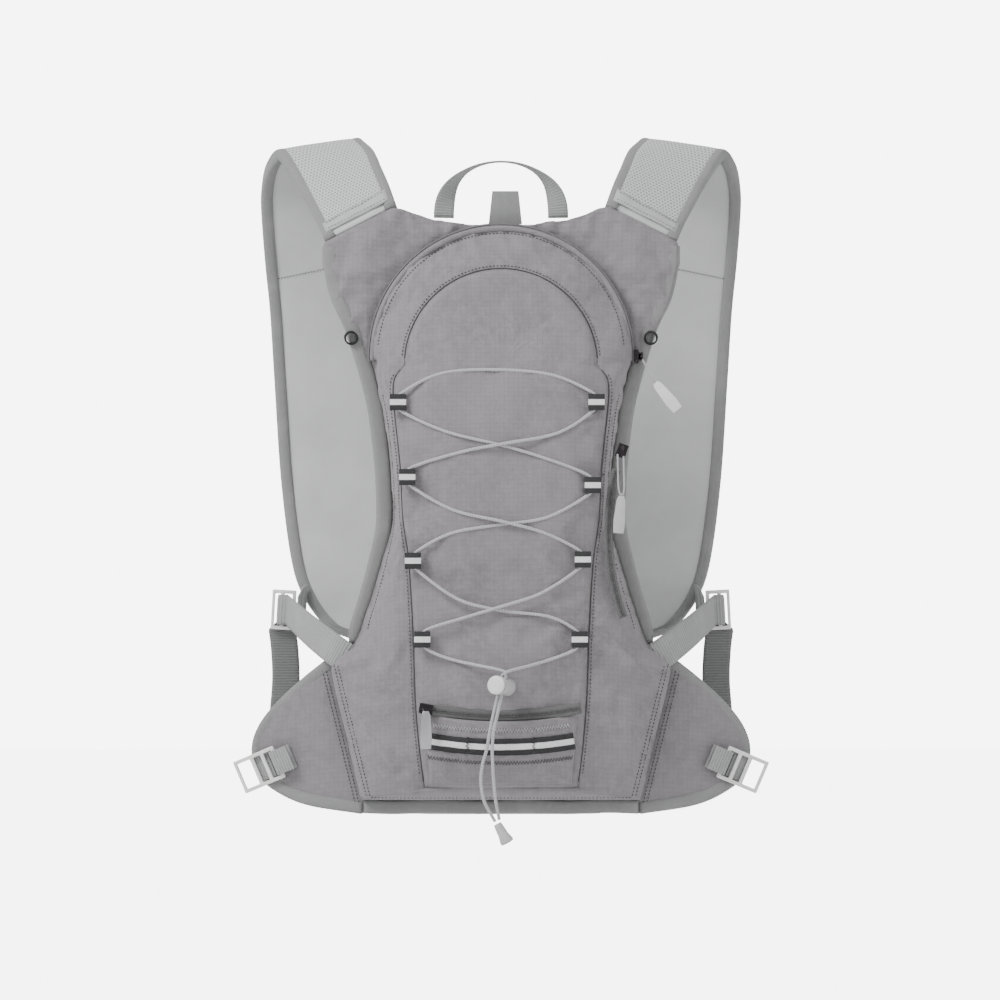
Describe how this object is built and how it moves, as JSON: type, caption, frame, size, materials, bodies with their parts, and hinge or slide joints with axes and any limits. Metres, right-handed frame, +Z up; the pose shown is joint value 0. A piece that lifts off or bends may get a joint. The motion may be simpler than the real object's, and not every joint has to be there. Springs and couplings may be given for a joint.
{
  "type": "hiking daypack",
  "caption": "Small back pack with two padded shoulder straps on ladder locks, laced front, arched and curved zips, cord lock, haul loop and folding hip fins.",
  "frame": {"origin": "middle of the line joining the tops of the two shoulder straps, where they cross the wearer's shoulders", "axes": "+Z up, +X to the right of someone looking at the front pocket, +Y from the pack towards the wearer"},
  "size_m": [0.4332, 0.2346, 0.5692],
  "materials": {
    "ripstop_fabric": "ripstop weave",
    "lining_fabric": "plain weave",
    "spacer_mesh": "open spacer mesh",
    "binding_tape": "folded binding tape",
    "webbing": "ribbed webbing",
    "light_plastic": "moulded acetal, satin",
    "grey_plastic": "moulded, satin",
    "dark_metal": "dark painted zinc",
    "reflective_tape": "black tape with a white reflective stripe",
    "black_tape": "tight tape",
    "elastic_cord": "braided elastic",
    "spring_steel": "bright wire"
  },
  "bodies": {
    "pack": {"main_bag": "ripstop_fabric", "front_panel": "ripstop_fabric", "front_pocket": "ripstop_fabric", "yoke_panel_left": "ripstop_fabric", "yoke_panel_right": "ripstop_fabric", "bladder_sleeve": "lining_fabric", "shoulder_strap_left": "lining_fabric", "shoulder_strap_right": "lining_fabric", "back_panel": "spacer_mesh", "strap_mesh_left": "spacer_mesh", "strap_mesh_right": "spacer_mesh", "armhole_binding_left": "binding_tape", "armhole_binding_right": "binding_tape", "bottom_binding": "binding_tape", "tube_port_tab": "binding_tape", "main_zip": "binding_tape", "side_zip": "binding_tape", "front_zip": "binding_tape", "adjuster_web_left": "webbing", "adjuster_web_right": "webbing", "lock_tab_left": "webbing", "lock_tab_right": "webbing", "bladder_hanger": "webbing", "cord_end": "grey_plastic", "reflective_band": "reflective_tape", "cord_tab_left_1": "reflective_tape", "cord_tab_left_2": "reflective_tape", "cord_tab_left_3": "reflective_tape", "cord_tab_left_4": "reflective_tape", "cord_tab_right_1": "reflective_tape", "cord_tab_right_2": "reflective_tape", "cord_tab_right_3": "reflective_tape", "cord_tab_right_4": "reflective_tape", "tube_loop_left": "black_tape", "tube_loop_right": "black_tape", "lacing_cord": "elastic_cord", "cord_tail_left": "elastic_cord", "cord_tail_right": "elastic_cord"},
    "main_slider": {"main_zip_slider": "dark_metal"},
    "main_pull": {"main_pull_cord": "elastic_cord", "main_pull_tab": "light_plastic"},
    "side_slider": {"side_zip_slider": "dark_metal"},
    "side_pull": {"side_pull_cord": "elastic_cord", "side_pull_tab": "grey_plastic"},
    "front_slider": {"front_zip_slider": "dark_metal"},
    "front_pull": {"front_zip_pull": "dark_metal"},
    "cord_lock": {"cord_lock_barrel": "grey_plastic", "cord_lock_spring": "spring_steel"},
    "lock_button": {"cord_lock_button": "grey_plastic"},
    "handle": {"haul_loop": "webbing"},
    "fin_left": {"hip_fin_left": "ripstop_fabric", "hip_web_left": "webbing"},
    "belt_lock_left": {"hip_lock_left": "light_plastic", "belt_web_left": "webbing"},
    "shoulder_lock_left": {"strap_lock_left": "light_plastic"},
    "fin_right": {"hip_fin_right": "ripstop_fabric", "hip_web_right": "webbing"},
    "belt_lock_right": {"hip_lock_right": "light_plastic", "belt_web_right": "webbing"},
    "shoulder_lock_right": {"strap_lock_right": "light_plastic"}
  },
  "joints": [
    {"name": "main_zip_slide", "type": "hinge", "parent": "pack", "child": "main_slider", "pos_m": [0, -0.09, -0.167], "axis": [0, -1, 0], "range_deg": [0, 180]},
    {"name": "main_pull_swing", "type": "hinge", "parent": "main_slider", "child": "main_pull", "pos_m": [0.1117, -0.09, -0.167], "axis": [0, -1, 0], "range_deg": [-40, 90]},
    {"name": "side_zip_slide", "type": "hinge", "parent": "pack", "child": "side_slider", "pos_m": [0.286, -0.1306, -0.308], "axis": [0, -1, 0], "range_deg": [0, 35]},
    {"name": "side_pull_swing", "type": "hinge", "parent": "side_slider", "child": "side_pull", "pos_m": [0.09686, -0.1334, -0.243], "axis": [-0.9457, 0, 0.325], "range_deg": [0, 150]},
    {"name": "front_zip_slide", "type": "hinge", "parent": "pack", "child": "front_slider", "pos_m": [0, -0.1393, -0.125], "axis": [0, -1, 0], "range_deg": [0, 20.5]},
    {"name": "front_pull_swing", "type": "hinge", "parent": "front_slider", "child": "front_pull", "pos_m": [-0.06, -0.1421, -0.4495], "axis": [-1, 0, 0], "range_deg": [0, 110]},
    {"name": "cord_lock_slide", "type": "slide", "parent": "pack", "child": "cord_lock", "axis": [-0.2201, 0, -0.9755], "range_m": [0, 0.018]},
    {"name": "cord_lock_press", "type": "slide", "parent": "cord_lock", "child": "lock_button", "axis": [0.4571, 0.8834, -0.1031], "range_m": [0, 0.003], "stiffness_N_per_m": 900},
    {"name": "haul_loop_fold", "type": "hinge", "parent": "pack", "child": "handle", "pos_m": [0, -0.078, -0.0555], "axis": [1, 0, 0], "range_deg": [-60, 60]},
    {"name": "hip_fin_left_fold", "type": "hinge", "parent": "pack", "child": "fin_left", "pos_m": [-0.11, -0.077, -0.534], "axis": [0.2203, 0, -0.9754], "range_deg": [0, 60]},
    {"name": "hip_lock_left_swing", "type": "hinge", "parent": "fin_left", "child": "belt_lock_left", "pos_m": [-0.18, -0.07261, -0.4935], "axis": [-0.3907, 0, 0.9205], "range_deg": [0, 70]},
    {"name": "strap_lock_left_tilt", "type": "hinge", "parent": "pack", "child": "shoulder_lock_left", "pos_m": [-0.17775, -0.001, -0.3715], "axis": [0.0535, 0, 0.9986], "range_deg": [-15, 15], "deforming": ["lock_tab_left", "adjuster_web_left"]},
    {"name": "hip_fin_right_fold", "type": "hinge", "parent": "pack", "child": "fin_right", "pos_m": [0.11, -0.077, -0.534], "axis": [0.2203, 0, 0.9754], "range_deg": [0, 60]},
    {"name": "hip_lock_right_swing", "type": "hinge", "parent": "fin_right", "child": "belt_lock_right", "pos_m": [0.18, -0.07261, -0.4935], "axis": [-0.3907, 0, -0.9205], "range_deg": [0, 70]},
    {"name": "strap_lock_right_tilt", "type": "hinge", "parent": "pack", "child": "shoulder_lock_right", "pos_m": [0.17775, -0.001, -0.3715], "axis": [-0.0535, 0, 0.9986], "range_deg": [-15, 15], "deforming": ["lock_tab_right", "adjuster_web_right"]}
  ]
}
